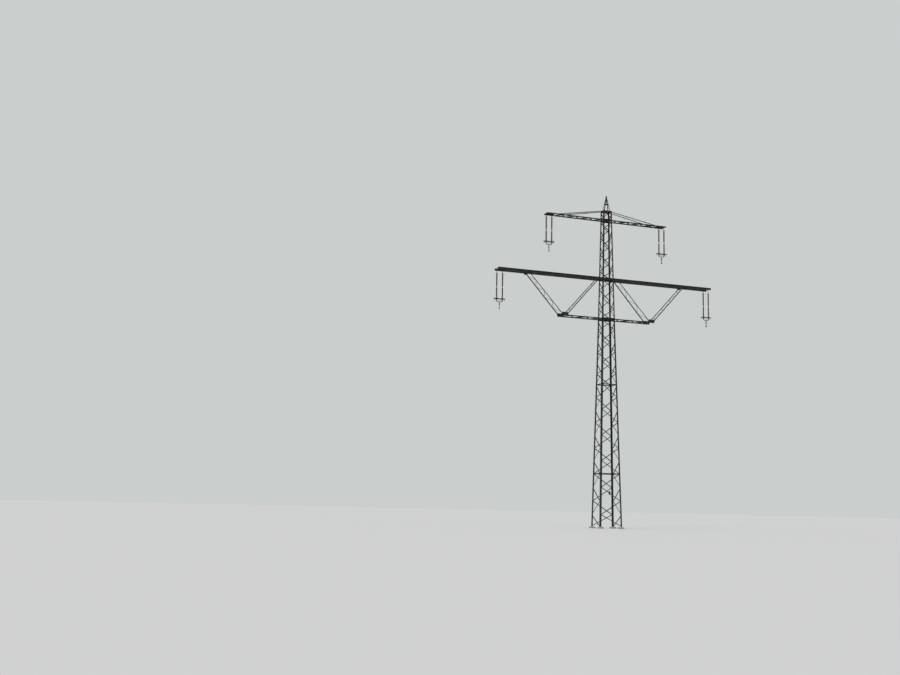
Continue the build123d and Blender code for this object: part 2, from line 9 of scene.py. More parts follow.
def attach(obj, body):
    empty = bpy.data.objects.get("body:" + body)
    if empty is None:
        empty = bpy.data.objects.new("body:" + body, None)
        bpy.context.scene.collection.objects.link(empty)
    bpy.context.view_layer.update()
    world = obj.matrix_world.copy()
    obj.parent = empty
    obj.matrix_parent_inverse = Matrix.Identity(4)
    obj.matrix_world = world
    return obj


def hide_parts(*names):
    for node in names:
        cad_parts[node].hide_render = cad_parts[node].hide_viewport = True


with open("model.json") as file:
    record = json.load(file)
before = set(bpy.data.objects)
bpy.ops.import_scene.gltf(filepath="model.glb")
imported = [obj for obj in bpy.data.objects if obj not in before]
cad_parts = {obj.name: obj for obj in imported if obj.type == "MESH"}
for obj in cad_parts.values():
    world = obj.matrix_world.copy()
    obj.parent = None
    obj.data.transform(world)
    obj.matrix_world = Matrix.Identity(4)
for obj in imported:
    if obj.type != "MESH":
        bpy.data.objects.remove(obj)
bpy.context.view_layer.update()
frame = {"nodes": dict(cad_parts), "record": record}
print("frame loaded")


# shader maths
class Wire:
    def __init__(self, shade, socket):
        self.shade = shade
        self.socket = socket

    def math(self, kind, first, second):
        return self.shade.node("ShaderNodeMath", {"operation": kind}, {0: first, 1: second})

    def __add__(self, other): return self.math("ADD", self, other)
    def __radd__(self, other): return self.math("ADD", other, self)
    def __sub__(self, other): return self.math("SUBTRACT", self, other)
    def __rsub__(self, other): return self.math("SUBTRACT", other, self)
    def __mul__(self, other): return self.math("MULTIPLY", self, other)
    def __rmul__(self, other): return self.math("MULTIPLY", other, self)


class Nodes:
    def __init__(self, tree):
        self.tree = tree

    def feed(self, socket, value):
        if isinstance(value, Wire):
            self.tree.links.new(value.socket, socket)
        elif socket.type == "RGBA":
            socket.default_value = (*value, 1)
        else:
            socket.default_value = value

    def node(self, kind, settings, inputs, output=0):
        node = self.tree.nodes.new(kind)
        for key, value in settings.items():
            setattr(node, key, value)
        for key, value in inputs.items():
            self.feed(node.inputs[key], value)
        return Wire(self, node.outputs[output])

    def mix(self, factor, first, second):
        return self.node("ShaderNodeMix", {"data_type": "RGBA"}, {0: factor, 6: first, 7: second}, 2)

    def clip(self, value):
        return self.node("ShaderNodeClamp", {}, {"Value": value})


class Shade(Nodes):
    def __init__(self, name, colour, roughness, metallic=0.0, **extra):
        self.material = bpy.data.materials.new(name)
        self.material.use_nodes = True
        super().__init__(self.material.node_tree)
        self.shader = self.tree.nodes["Principled BSDF"]
        self.material.diffuse_color = (*colour, 1)
        self.set("Base Color", colour)
        self.set("Roughness", roughness)
        self.set("Metallic", metallic)
        for key, value in extra.items():
            self.set(key.replace("_", " "), value)

    def set(self, socket, value):
        self.feed(self.shader.inputs[socket], value)

    def coords(self):
        return self.node("ShaderNodeTexCoord", {}, {}, "Object")

    def place(self, stretch=(1, 1, 1)):
        return self.node("ShaderNodeMapping", {}, {"Vector": self.coords(), "Scale": stretch})

    def axis(self, letter):
        return self.node("ShaderNodeSeparateXYZ", {}, {"Vector": self.coords()}, letter)

    def noise(self, scale, detail=4.0, rough=0.55, stretch=(1, 1, 1)):
        return self.node("ShaderNodeTexNoise", {}, {"Vector": self.place(stretch), "Scale": scale,
                                                    "Detail": detail, "Roughness": rough}, "Fac")

    def cells(self, scale, output="Distance"):
        return self.node("ShaderNodeTexVoronoi", {}, {"Vector": self.place(), "Scale": scale},
                         output)

    def fade(self, value, low, high):
        return self.node("ShaderNodeMapRange", {"interpolation_type": "SMOOTHSTEP"},
                         {"Value": value, "From Min": low, "From Max": high})

    def bump(self, height, strength, distance):
        self.set("Normal", self.node("ShaderNodeBump", {}, {"Height": height, "Strength": strength,
                                                            "Distance": distance}))


def tinted(colour, gains):
    return tuple(part * gain for part, gain in zip(colour, gains))


# up and down are the heights where a rusty band comes in and goes out; dust gives the heights where
# the painted sky light on the low legs fades out
steelLook = {"base": (0.021, 0.029, 0.026), "dark": (0.011, 0.016, 0.014),
             "pale": (0.060, 0.075, 0.068), "oxide": (1.35, 1.35, 1.35), "dust": (0.8, 6.0),
             "rust": 0.2, "rustDark": (0.026, 0.011, 0.010), "rustLight": (0.05, 0.022, 0.018),
             "headUp": (29.1, 29.4), "headDown": (30.5, 30.9), "headSquare": (0.3, 0.5),
             "armUp": (23.3, 23.7), "armDown": (23.75, 24.3), "footDown": (0.1, 1.4)}


def steelShade():
    look = steelLook
    shade = Shade("weatheredSteel", look["base"], 0.62, 0.1, Specular_IOR_Level=0.2)
    height = shade.axis("Z")
    across = shade.axis("X")
    mottle = shade.fade(shade.noise(1.3, 5), 0.35, 0.68)
    colour = shade.mix(mottle, look["base"], look["dark"])
    streak = shade.fade(shade.noise(5.0, 4, 0.6, (2.2, 2.2, 0.22)), 0.5, 0.74)
    # paler towards the ground: painted light, standing in for the sky light on the low legs
    paintedSkyLight = 1.0 - shade.fade(height, *look["dust"])
    colour = shade.mix(streak * 0.5 + paintedSkyLight * 0.25, colour, look["pale"])
    bloom = shade.fade(shade.noise(11.0, 6, 0.72), 0.56, 0.7)  # pale oxide in the zinc
    colour = shade.mix(bloom * 0.5, colour, tinted(look["pale"], look["oxide"]))
    speckle = shade.fade(shade.noise(38.0, 6, 0.7), 0.56, 0.72)
    # by x squared, so not on the crossarm
    slim = 1.0 - shade.fade(across * across, *look["headSquare"])
    headBand = shade.fade(height, *look["headUp"]) * (1.0 - shade.fade(height, *look["headDown"]))
    headBand = headBand * slim
    armBand = shade.fade(height, *look["armUp"]) * (1.0 - shade.fade(height, *look["armDown"]))
    footBand = 1.0 - shade.fade(height, *look["footDown"])
    patches = shade.fade(shade.noise(2.4, 5, 0.6, (1, 1, 0.5)), 0.42, 0.7)
    tears = shade.fade(shade.noise(9.0, 5, 0.65, (1.6, 1.6, 0.3)), 0.6, 0.76)
    rust = speckle * look["rust"] + tears * 0.32
    rust = rust + patches * (headBand * 0.6 + armBand * 0.3 + footBand * 0.3)
    rust = shade.clip(rust + headBand * 0.65)
    rustTone = shade.fade(shade.noise(16.0, 5), 0.35, 0.65)
    rustColour = shade.mix(rustTone, look["rustDark"], look["rustLight"])
    shade.set("Base Color", shade.mix(rust, colour, rustColour))
    shade.set("Roughness", 0.5 + rust * 0.3 + mottle * 0.1)
    shade.set("Metallic", 0.12 - rust * 0.1)
    grain = shade.noise(220.0, 4, 0.6) * 0.5 + shade.noise(60.0, 3) * 0.5 + rust * 0.5 + bloom * 0.3
    shade.bump(grain, 0.3, 0.002)
    return shade.material


# base, dark, roughness and metallic of each galvanised or cast finish
zincLook = {"boltZinc": ((0.042, 0.05, 0.047), (0.022, 0.027, 0.025), 0.5, 0.4),
            "fittingZinc": ((0.026, 0.030, 0.029), (0.014, 0.017, 0.016), 0.5, 0.35),
            "castAluminium": ((0.07, 0.075, 0.075), (0.04, 0.043, 0.043), 0.45, 0.5)}
zincStain = (1.1, 0.86, 0.68)


def zincShade(name):
    base, dark, roughness, metallic = zincLook[name]
    shade = Shade(name, base, roughness, metallic, Specular_IOR_Level=0.35)
    spangle = shade.cells(70.0, "Color")
    spot = shade.node("ShaderNodeSeparateColor", {}, {"Color": spangle})
    stain = shade.fade(shade.noise(9.0, 5, 0.6, (1, 1, 0.35)), 0.42, 0.72)
    colour = shade.mix(spot * 0.45, base, dark)
    shade.set("Base Color", shade.mix(stain * 0.5, colour, tinted(dark, zincStain)))
    shade.set("Roughness", roughness + spot * 0.12 + stain * 0.15)
    shade.bump(shade.noise(180.0, 3) + stain * 0.4, 0.2, 0.0015)
    return shade.material


porcelainLook = {"base": (0.04, 0.02, 0.015), "deep": (0.020, 0.011, 0.009),
                 "warm": (0.038, 0.019, 0.015), "dust": (0.075, 0.06, 0.05)}


def porcelainShade():
    shade = Shade("brownPorcelain", porcelainLook["base"], 0.3, 0.0, Coat_Weight=0.25,
                  Coat_Roughness=0.15, Specular_IOR_Level=0.35)
    tone = shade.fade(shade.noise(3.0, 3), 0.3, 0.7)
    dust = shade.fade(shade.noise(22.0, 5, 0.65), 0.5, 0.78)
    colour = shade.mix(tone, porcelainLook["deep"], porcelainLook["warm"])
    shade.set("Base Color", shade.mix(dust * 0.35, colour, porcelainLook["dust"]))
    shade.set("Roughness", 0.22 + dust * 0.35)
    shade.bump(shade.noise(26.0, 2) + dust * 0.15, 0.06, 0.002)
    return shade.material


concreteLook = {"base": (0.42, 0.41, 0.38), "light": (0.46, 0.45, 0.42),
                "dark": (0.33, 0.325, 0.30), "grit": (0.24, 0.235, 0.22),
                "soil": (0.16, 0.125, 0.085), "soilDown": (0.015, 0.075)}


def concreteShade():
    look = concreteLook
    shade = Shade("roughConcrete", look["base"], 0.9)
    patch = shade.fade(shade.noise(5.0, 6, 0.6), 0.32, 0.7)
    grit = shade.noise(70.0, 6, 0.7)
    pores = 1.0 - shade.fade(shade.cells(55.0), 0.05, 0.16)
    soil = 1.0 - shade.fade(shade.axis("Z") + (patch - 0.5) * 0.05, *look["soilDown"])
    colour = shade.mix(patch, look["light"], look["dark"])
    colour = shade.mix(shade.fade(grit, 0.4, 0.7) * 0.35, colour, look["grit"])
    shade.set("Base Color", shade.mix(soil * 0.75, colour, look["soil"]))
    shade.set("Roughness", 0.82 + grit * 0.15)
    shade.bump(grit * 0.6 - pores * 0.5 + patch * 0.3, 0.7, 0.006)
    return shade.material


sheetLook = {"base": (0.026, 0.029, 0.029), "dark": (0.022, 0.025, 0.025),
             "worn": (0.045, 0.05, 0.049), "streak": (0.07, 0.052, 0.042)}


def sheetShade():
    shade = Shade("darkSheet", sheetLook["base"], 0.5, 0.2, Specular_IOR_Level=0.3)
    worn = shade.fade(shade.noise(14.0, 5, 0.6), 0.45, 0.72)
    streak = shade.fade(shade.noise(26.0, 4, 0.6, (1, 1, 0.12)), 0.5, 0.75)
    colour = shade.mix(worn, sheetLook["dark"], sheetLook["worn"])
    shade.set("Base Color", shade.mix(streak * 0.35, colour, sheetLook["streak"]))
    shade.set("Roughness", 0.42 + worn * 0.3)
    shade.bump(shade.noise(120.0, 3) + worn * 0.5, 0.15, 0.001)
    return shade.material


steel = steelShade()
boltSteel = zincShade("boltZinc")
fittingSteel = zincShade("fittingZinc")
clampMetal = zincShade("castAluminium")
porcelain = porcelainShade()
concrete = concreteShade()
shades = {"galvanised_steel": steel, "concrete": concrete, "plate": sheetShade(),
          "brown_porcelain": porcelain, "fitting_steel": fittingSteel, "clamp_aluminium": clampMetal}
for part in frame["record"]["subparts"]:
    mesh = frame["nodes"][part["node"]].data
    mesh.materials.clear()
    mesh.materials.append(shades[part["material_slot"]])
print("materials made")


# body geometry, in metres
body = {"waist": 19.74, "top": 30.43, "baseW": 2.315, "waistW": 1.335, "headW": 0.89,
        "baseD": 1.755, "waistD": 0.91, "headD": 0.62,
        "lowerLeg": 0.15, "upperLeg": 0.12, "legJoint": 19.9, "brace": 0.007}
stretches = ((0.0, 5.04, 4), (5.04, 13.45, 7), (13.45, 19.74, 6),
             (19.74, 23.64, 4), (23.64, 29.47, 7), (29.47, 30.43, 1))  # from, to, bars
nodeLevels = [0.0] + [low + (high - low) * n / count
                      for low, high, count in stretches for n in range(1, count + 1)]
arms = {"main": {"level": 23.64, "height": 0.198, "wall": 0.009, "length": 22.96, "bay": 0.95,
                 "inset": 0.76},
        "top": {"level": 29.47, "height": 0.102, "wall": 0.007, "length": 12.95, "bay": 0.78,
                "inset": 0.76},
        "bottom": {"level": 19.74, "height": 0.094, "wall": 0.007, "length": 9.9, "bay": 0.86,
                   "inset": 0.06}}
sets = {"main_left": (-11.13, 23.411), "main_right": (11.13, 23.411),
        "top_left": (-6.125, 29.37), "top_right": (6.125, 29.37)}  # reach, pivot
stringHalf = 0.29  # from the middle of a set to each of its strings
sides = {"front": 0, "right": 90, "back": 180, "left": 270}
both = (-1, 1)


def halfSpan(z, base, waist, head):
    if z <= body["waist"]:
        return (base + (waist - base) * z / body["waist"]) / 2
    return (waist + (head - waist) * (z - body["waist"]) / (body["top"] - body["waist"])) / 2


def halfWidth(z): return halfSpan(z, body["baseW"], body["waistW"], body["headW"])


def halfDepth(z): return halfSpan(z, body["baseD"], body["waistD"], body["headD"])


def legWidth(z): return body["lowerLeg"] if z <= body["legJoint"] else body["upperLeg"]


def facesFront(side): return side in ("front", "back")


# half of a face's own width, and from the axis out to the face
def faceHalf(side): return halfWidth if facesFront(side) else halfDepth


def faceOut(side): return halfDepth if facesFront(side) else halfWidth


def faceTurn(side): return Matrix.Rotation(math.radians(sides[side]), 4, "Z")


def facePoint(side, u, z, out=0.0):
    return faceTurn(side) @ Vector((u, -faceOut(side)(z) - out, z))


def faceNormal(side, z):
    across = faceOut(side)
    lean = (across(z) - across(z + 0.1)) / 0.1
    return faceTurn(side) @ Vector((0, -1, lean)).normalized()


def nearArm(z, gap):
    return any(abs(z - arm["level"]) < gap for arm in arms.values())


# mesh helpers
up = (0, 0, 1)
facing = {"x": Matrix.Rotation(math.radians(90), 4, "Z") @ Matrix.Rotation(math.radians(90), 4, "X"),
          "y": Matrix.Rotation(math.radians(90), 4, "X")}


def standing(axis, centre):
    return Matrix.Translation(Vector(centre)) @ facing[axis]


def aim(direction, centre):
    turn = Vector(direction).normalized().to_track_quat("Z", "Y").to_matrix().to_4x4()
    return Matrix.Translation(Vector(centre)) @ turn


def turnOf(*axes):
    return Matrix(axes).transposed().to_4x4()


def facesNow(bm, index):  # only where the new faces get a material slot of their own
    return set(bm.faces) if index else None


def markNew(bm, before, index):
    if index:
        for face in set(bm.faces) - before:
            face.material_index = index


def edgesOf(verts):
    return list(dict.fromkeys(e for v in verts for e in v.link_edges))


def only(kind, geom):
    return [item for item in geom if isinstance(item, kind)]


def bevelEdges(bm, edges, width, steps=1):
    bmesh.ops.bevel(bm, geom=edges, offset=width, segments=steps, affect="EDGES", profile=0.5,
                    material=-1)


def addPost(bm, centre, direction, radius, depth, segments=6, index=0, bevel=0.0):
    before = facesNow(bm, index)
    made = bmesh.ops.create_cone(bm, cap_ends=True, segments=segments, radius1=radius,
                                 radius2=radius, depth=depth, matrix=aim(direction, centre))
    if bevel:
        rims = [e for e in edgesOf(made["verts"]) if any(len(f.verts) > 4 for f in e.link_faces)]
        bevelEdges(bm, rims, bevel)
    markNew(bm, before, index)


def addBlock(bm, centre, size, turn=None, bevel=0.0, index=0, steps=1):
    before = facesNow(bm, index)
    place = Matrix.Translation(Vector(centre)) @ (turn or Matrix.Identity(4))
    made = bmesh.ops.create_cube(bm, size=1.0, matrix=place @ Matrix.Diagonal((*size, 1)))
    if bevel:
        bevelEdges(bm, edgesOf(made["verts"]), bevel, steps)
    markNew(bm, before, index)


# a bolt's parts as shares of its size
bolt = {"washer": 0.66, "washerThick": 0.003, "head": 0.56, "headTall": 0.42}


def addBolt(bm, seat, direction, size):
    out = Vector(direction).normalized()
    thick, tall = bolt["washerThick"], size * bolt["headTall"]
    addPost(bm, Vector(seat) + out * thick / 2, out, size * bolt["washer"], thick, 10)
    addPost(bm, Vector(seat) + out * (thick + tall / 2), out, size * bolt["head"], tall, 6)


def addSpin(bm, profile, centre, steps, index):
    before = facesNow(bm, index)
    centre = Vector(centre)
    verts = [bm.verts.new(centre + Vector((radius, 0, height))) for radius, height in profile]
    edges = [bm.edges.new(pair) for pair in zip(verts, verts[1:])]
    bmesh.ops.spin(bm, geom=verts + edges, cent=centre, axis=up, angle=math.tau, steps=steps,
                   use_merge=True)
    markNew(bm, before, index)


def addOval(bm, centre, across, along, tube):
    before = set(bm.verts)
    centre = Vector(centre)
    shift = Vector((across - along, 0, 0))
    start = Matrix.Translation(centre + shift - Vector((0, along, 0))) @ facing["x"]
    loop = edgesOf(bmesh.ops.create_circle(bm, segments=10, radius=tube, matrix=start)["verts"])
    for hand in (1, -1):  # half a turn, then a straight run back
        bend = bmesh.ops.spin(bm, geom=loop, cent=centre + shift * hand, axis=up, angle=math.pi,
                              steps=20)
        last = only(bmesh.types.BMEdge, bend["geom_last"])
        grown = bmesh.ops.extrude_edge_only(bm, edges=last)["geom"]
        moved = set(only(bmesh.types.BMVert, grown))
        bmesh.ops.translate(bm, verts=list(moved), vec=shift * -2 * hand)
        loop = [e for e in only(bmesh.types.BMEdge, grown) if moved.issuperset(e.verts)]
    bmesh.ops.remove_doubles(bm, verts=[v for v in bm.verts if v not in before], dist=1e-4)


def addPlate(bm, outline, matrix, thickness, bevel, index=0):
    before = facesNow(bm, index)
    verts = [bm.verts.new(matrix @ Vector((x, y, -thickness / 2))) for x, y in outline]
    grown = bmesh.ops.extrude_face_region(bm, geom=[bm.faces.new(verts)])["geom"]
    moved = only(bmesh.types.BMVert, grown)
    shift = matrix.to_3x3() @ Vector((0, 0, thickness))
    bmesh.ops.translate(bm, verts=moved, vec=shift)
    along = shift.normalized()
    rims = [e for e in edgesOf(verts + moved)
            if abs((e.verts[0].co - e.verts[1].co).normalized().dot(along)) < 0.5]
    bevelEdges(bm, rims, bevel)
    markNew(bm, before, index)


def roundLink(width, low, high):  # outline of a bar with round ends
    half = width / 2
    top = [(half * math.cos(a), high - half + half * math.sin(a)) for a in
           [math.pi * n / 8 for n in range(9)]]
    return top + [(-x, low + high - y) for x, y in top]


def finishPiece(name, bm, materials, rider, smooth, replaced=()):
    bmesh.ops.recalc_face_normals(bm, faces=bm.faces)
    mesh = bpy.data.meshes.new(name)
    bm.to_mesh(mesh)
    bm.free()
    for material in materials:
        mesh.materials.append(material)
    piece = bpy.data.objects.new(name, mesh)
    bpy.context.scene.collection.objects.link(piece)
    for polygon in mesh.polygons:
        polygon.use_smooth = True
    mesh.set_sharp_from_angle(angle=math.radians(smooth))
    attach(piece, rider)
    if replaced:
        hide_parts(*replaced)


def finishSteel(name, bm, *materials):
    finishPiece(name, bm, materials, "tower", 30)


def finishHung(kind, setName, bm, materials, node):
    finishPiece(kind + "_" + setName, bm, materials, "suspension_set_" + setName, 40,
                [node + "_" + setName])


# bolts on the body
joint = {"bolt": 0.024, "pair": 0.034, "armPair": 0.19, "inward": 0.018, "footLevel": 0.21,
         "headDrop": 0.065, "rings": (5.04, 13.45, 30.358), "ringInsets": (0.035, 0.085),
         "armGap": 0.02}
sheet = {"u": -0.15, "z": 3.25, "halfWide": 0.068, "halfTall": 0.135, "out": 0.0486, "bolt": 0.014}


def braceSeats(level):  # height of a joint's middle, and its bolts above and below that
    if level == nodeLevels[0]:
        return joint["footLevel"], (0.0,)
    if level == nodeLevels[-1]:
        return level - joint["headDrop"], (0.0,)
    pair = joint["armPair"] if nearArm(level, joint["armGap"]) else joint["pair"]
    return level, (-pair, pair)


def bodyBolts():
    bm = bmesh.new()
    for side in sides:
        across = faceHalf(side)
        for count, level in enumerate(nodeLevels):
            z, drops = braceSeats(level)
            hand = 1 if count % 2 == 0 else -1
            u = hand * (across(z) - legWidth(z) / 2 - (joint["inward"] if len(drops) > 1 else 0))
            for drop in drops:
                seat = facePoint(side, u, z + drop, body["brace"])
                addBolt(bm, seat, faceNormal(side, z), joint["bolt"])
        for z in joint["rings"]:
            for hand in both:
                for inset in joint["ringInsets"]:
                    seat = facePoint(side, hand * (across(z) - inset), z, body["brace"])
                    addBolt(bm, seat, faceNormal(side, z), joint["bolt"])
    for du in (-sheet["halfWide"], sheet["halfWide"]):
        for dz in (-sheet["halfTall"], sheet["halfTall"]):
            seat = facePoint("front", sheet["u"] + du, sheet["z"] + dz, sheet["out"])
            addBolt(bm, seat, faceNormal("front", sheet["z"]), sheet["bolt"])
    finishSteel("bodyBolts", bm, boltSteel)


splice = {"levels": (6.93, 12.85, 18.17, 25.72), "long": 0.42, "thick": 0.01, "narrower": 0.022,
          "edge": 0.002, "inward": 0.004, "rows": (-0.155, -0.085, 0.085, 0.155),
          "columns": (-0.028, 0.028), "bolt": 0.024}


def legSplices():
    bm = bmesh.new()
    for side in sides:
        along = faceTurn(side) @ Vector((1, 0, 0))
        for z in splice["levels"]:
            leg = legWidth(z)
            out = faceNormal(side, z)
            rise = out.cross(along)
            size = (leg - splice["narrower"], splice["long"], splice["thick"])
            turn = turnOf(along, rise, out)
            for hand in both:
                spot = facePoint(side, hand * (faceHalf(side)(z) - leg / 2 - splice["inward"]), z)
                addBlock(bm, spot + out * splice["thick"] / 2, size, turn, splice["edge"])
                for row in splice["rows"]:
                    for shift in splice["columns"]:
                        seat = spot + out * splice["thick"] + rise * row + along * shift
                        addBolt(bm, seat, out, splice["bolt"])
    finishSteel("legSplices", bm, steel)


stepBolt = {"first": 3.2, "last": 30.0, "pitch": 0.4, "inset": 0.022, "armGap": 0.12, "long": 0.13,
            "radius": 0.008, "head": 0.016, "headTall": 0.008, "headEdge": 0.002, "nut": 0.014,
            "nutTall": 0.013, "nutOut": 0.008}


def stepBolts():
    bm = bmesh.new()
    z = stepBolt["first"]
    count = 0
    long, headTall, nutTall = stepBolt["long"], stepBolt["headTall"], stepBolt["nutTall"]
    while z < stepBolt["last"]:
        side, hand = ("back", 1) if count % 2 == 0 else ("left", -1)
        if not nearArm(z, stepBolt["armGap"]):
            out = faceNormal(side, z)
            base = facePoint(side, hand * (faceHalf(side)(z) - stepBolt["inset"]), z)
            addPost(bm, base + out * (long / 2), out, stepBolt["radius"], long, 8)
            addPost(bm, base + out * (long + headTall / 2), out, stepBolt["head"], headTall, 8,
                    bevel=stepBolt["headEdge"])
            addPost(bm, base + out * stepBolt["nutOut"], out, stepBolt["nut"], nutTall, 6)
        z += stepBolt["pitch"]
        count += 1
    finishSteel("stepBolts", bm, boltSteel)


bodyBolts()
legSplices()
stepBolts()
print("body details made")


# bolts on the arms: their channels stand behind the plates on the body
chord = {"plateDrop": 0.12, "plateGap": 0.0003, "plate": 0.008, "firstBar": 0.105, "lacing": 0.006,
         "lacingIn": 0.028, "lacingBolt": 0.018, "seatInsets": (0.03, 0.085),
         "seatRises": (-0.022, 0.022), "seatBolt": 0.022,
         "plateRises": (-0.095, -0.07, 0.07, 0.095), "plateInsets": (0.035, 0.09),
         "plateBolt": 0.018}
armSplice = {"at": (3.1, 6.6), "size": (0.46, 0.008, 0.16), "edge": 0.0015, "bolt": 0.02,
             "columns": (-0.185, -0.115, -0.045, 0.045, 0.115, 0.185), "rows": (-0.05, 0.05)}


def plateBack(arm): return halfDepth(arm["level"] - chord["plateDrop"]) + chord["plateGap"]


def chordBack(arm): return plateBack(arm) + chord["plate"] + chord["plateGap"]


def lacingStops(name):
    arm = arms[name]
    start = halfWidth(arm["level"]) + chord["firstBar"]
    span = arm["length"] / 2 - arm["inset"] - start
    bays = max(2, round(span / arm["bay"]))
    return [start + span / bays * n for n in range(bays + 1)]


def addArmSplices(bm, arm):
    face = chordBack(arm) + arm["wall"]
    thick = armSplice["size"][1]
    for hand in both:
        for middle in armSplice["at"]:
            for side in both:
                centre = (hand * middle, side * (face + thick / 2), arm["level"])
                addBlock(bm, centre, armSplice["size"], None, armSplice["edge"], 1)
                for shift in armSplice["columns"]:
                    for rise in armSplice["rows"]:
                        seat = (hand * (middle + shift), side * (face + thick), arm["level"] + rise)
                        addBolt(bm, seat, (0, side, 0), armSplice["bolt"])


def armBolts(name):
    bm = bmesh.new()
    arm = arms[name]
    level, edge, back = arm["level"], halfWidth(arm["level"]), chordBack(arm)
    under = level - arm["height"] / 2 - chord["lacing"]
    for hand in both:
        for count, x in enumerate(lacingStops(name)):
            y = (-1 if count % 2 == 0 else 1) * (back + chord["lacingIn"])
            addBolt(bm, (hand * x, y, under), (0, 0, -1), chord["lacingBolt"])
        for side in both:
            for inset in chord["seatInsets"]:
                for rise in chord["seatRises"]:
                    seat = (hand * (edge - inset), side * (back + arm["wall"]), level + rise)
                    addBolt(bm, seat, (0, side, 0), chord["seatBolt"])
    if name == "main":
        addArmSplices(bm, arm)
    else:
        face = plateBack(arm) + chord["plate"]
        for hand in both:
            for side in both:
                for rise in chord["plateRises"]:
                    for inset in chord["plateInsets"]:
                        seat = (hand * (edge - inset), side * face, level + rise)
                        addBolt(bm, seat, (0, side, 0), chord["plateBolt"])
    finishSteel(name + "ArmBolts", bm, boltSteel, steel)


strut = {"outerFoot": 4.82, "outerHead": 8.3, "outerOut": 0.028, "innerFoot": 4.45,
         "innerPast": 0.47, "innerOut": 0.014, "footOut": 0.028, "footSteps": (0.075, 0.14, 0.205),
         "headSteps": (0.05, 0.105), "bolt": 0.02}


def strutBolts():
    bm = bmesh.new()
    low, high = arms["bottom"], arms["main"]
    footZ, headZ = low["level"] + low["height"] / 2, high["level"] - high["height"] / 2
    for footX, headX, headOut in (
            (strut["outerFoot"], strut["outerHead"], strut["outerOut"]),
            (strut["innerFoot"], halfWidth(high["level"]) + strut["innerPast"], strut["innerOut"])):
        rise = math.atan2(headZ - footZ, headX - footX)
        footY, headY = chordBack(low) + strut["footOut"], chordBack(high) + headOut
        seats = [(footX, footY, footZ, step) for step in strut["footSteps"]]
        seats += [(headX, headY, headZ, -step) for step in strut["headSteps"]]
        for x, y, z, step in seats:
            x, z = x + step * math.cos(rise), z + step * math.sin(rise)
            for hand in both:
                for side in both:
                    addBolt(bm, (hand * x, side * y, z), (0, side, 0), strut["bolt"])
    finishSteel("strutBolts", bm, boltSteel)


hanger = {"inward": 0.01, "rises": (-0.018, 0.018), "bolt": 0.018}


def hangerBolts():
    bm = bmesh.new()
    for setName, place in sets.items():
        arm = arms["main" if "main" in setName else "top"]
        for end in both:
            x = place[0] + end * stringHalf - hanger["inward"]
            for side in both:
                for rise in hanger["rises"]:
                    seat = (x, side * (chordBack(arm) + arm["wall"]), arm["level"] + rise)
                    addBolt(bm, seat, (0, side, 0), hanger["bolt"])
    finishSteel("hangerBolts", bm, boltSteel)


tie = {"headZ": 30.358, "headY": 0.215, "headDrop": 0.065, "headGap": 0.0073, "footX": 5.475,
       "footGap": 0.0003, "thick": 0.008, "bolt": 0.018, "tabY": (-0.036, 0.036),
       "tabZ": (-0.04, 0.04), "footSteps": (0.035, 0.1), "footBolt": 0.02}
# fish: splice plates on both faces of a tie; cover: the plate over a crossarm end
fish = {"at": (0.34, 0.72), "size": (0.3, 0.006, 0.085), "edge": 0.0015, "out": 0.0072,
        "boltOut": 0.0102, "steps": (-0.115, -0.05, 0.05, 0.115)}
cover = {"from": 5.6, "pitch": 0.165, "bolts": 6, "inward": 0.026, "top": 0.0083}


def tieBolts():
    bm = bmesh.new()
    top = arms["top"]
    face = halfWidth(tie["headZ"] - tie["headDrop"]) + tie["headGap"]
    footY = chordBack(top) - tie["footGap"] - tie["thick"] / 2
    head = Vector((face, tie["headY"], tie["headZ"]))
    foot = Vector((tie["footX"], footY, top["level"]))
    run = (foot - head).normalized()
    for sx in both:
        for sy in both:
            for dy in tie["tabY"]:
                for dz in tie["tabZ"]:
                    seat = (sx * (face + tie["thick"]), sy * (tie["headY"] + dy), tie["headZ"] + dz)
                    addBolt(bm, seat, (sx, 0, 0), tie["bolt"])
            for step in tie["footSteps"]:
                y = chordBack(top) + top["wall"]
                seat = (sx * (tie["footX"] - step), sy * y, top["level"])
                addBolt(bm, seat, (0, sy, 0), tie["footBolt"])
            mirror = Matrix.Diagonal((sx, sy, 1))
            for share in fish["at"]:
                spot, along = mirror @ head.lerp(foot, share), mirror @ run
                side = along.cross(Vector(up)).normalized()
                turn = turnOf(along, side, along.cross(side))
                for hand in both:
                    centre = spot + side * hand * fish["out"]
                    addBlock(bm, centre, fish["size"], turn, fish["edge"], 1)
                    for step in fish["steps"]:
                        seat = spot + side * hand * fish["boltOut"] + along * step
                        addBolt(bm, seat, side * hand, tie["bolt"])
            for n in range(cover["bolts"]):
                x = cover["from"] + cover["pitch"] * n
                z = top["level"] + top["height"] / 2 + cover["top"]
                addBolt(bm, (sx * x, sy * (chordBack(top) + cover["inward"]), z), up, tie["bolt"])
    finishSteel("tieBolts", bm, boltSteel, steel)


upper = {"wide": 0.06, "thick": 0.006, "stand": 0.05, "trim": 0.11, "seat": 0.026, "share": 0.045,
         "past": 0.018, "gap": 0.0003, "bolt": 0.018, "reach": {"top": 5.05, "bottom": 4.2}}


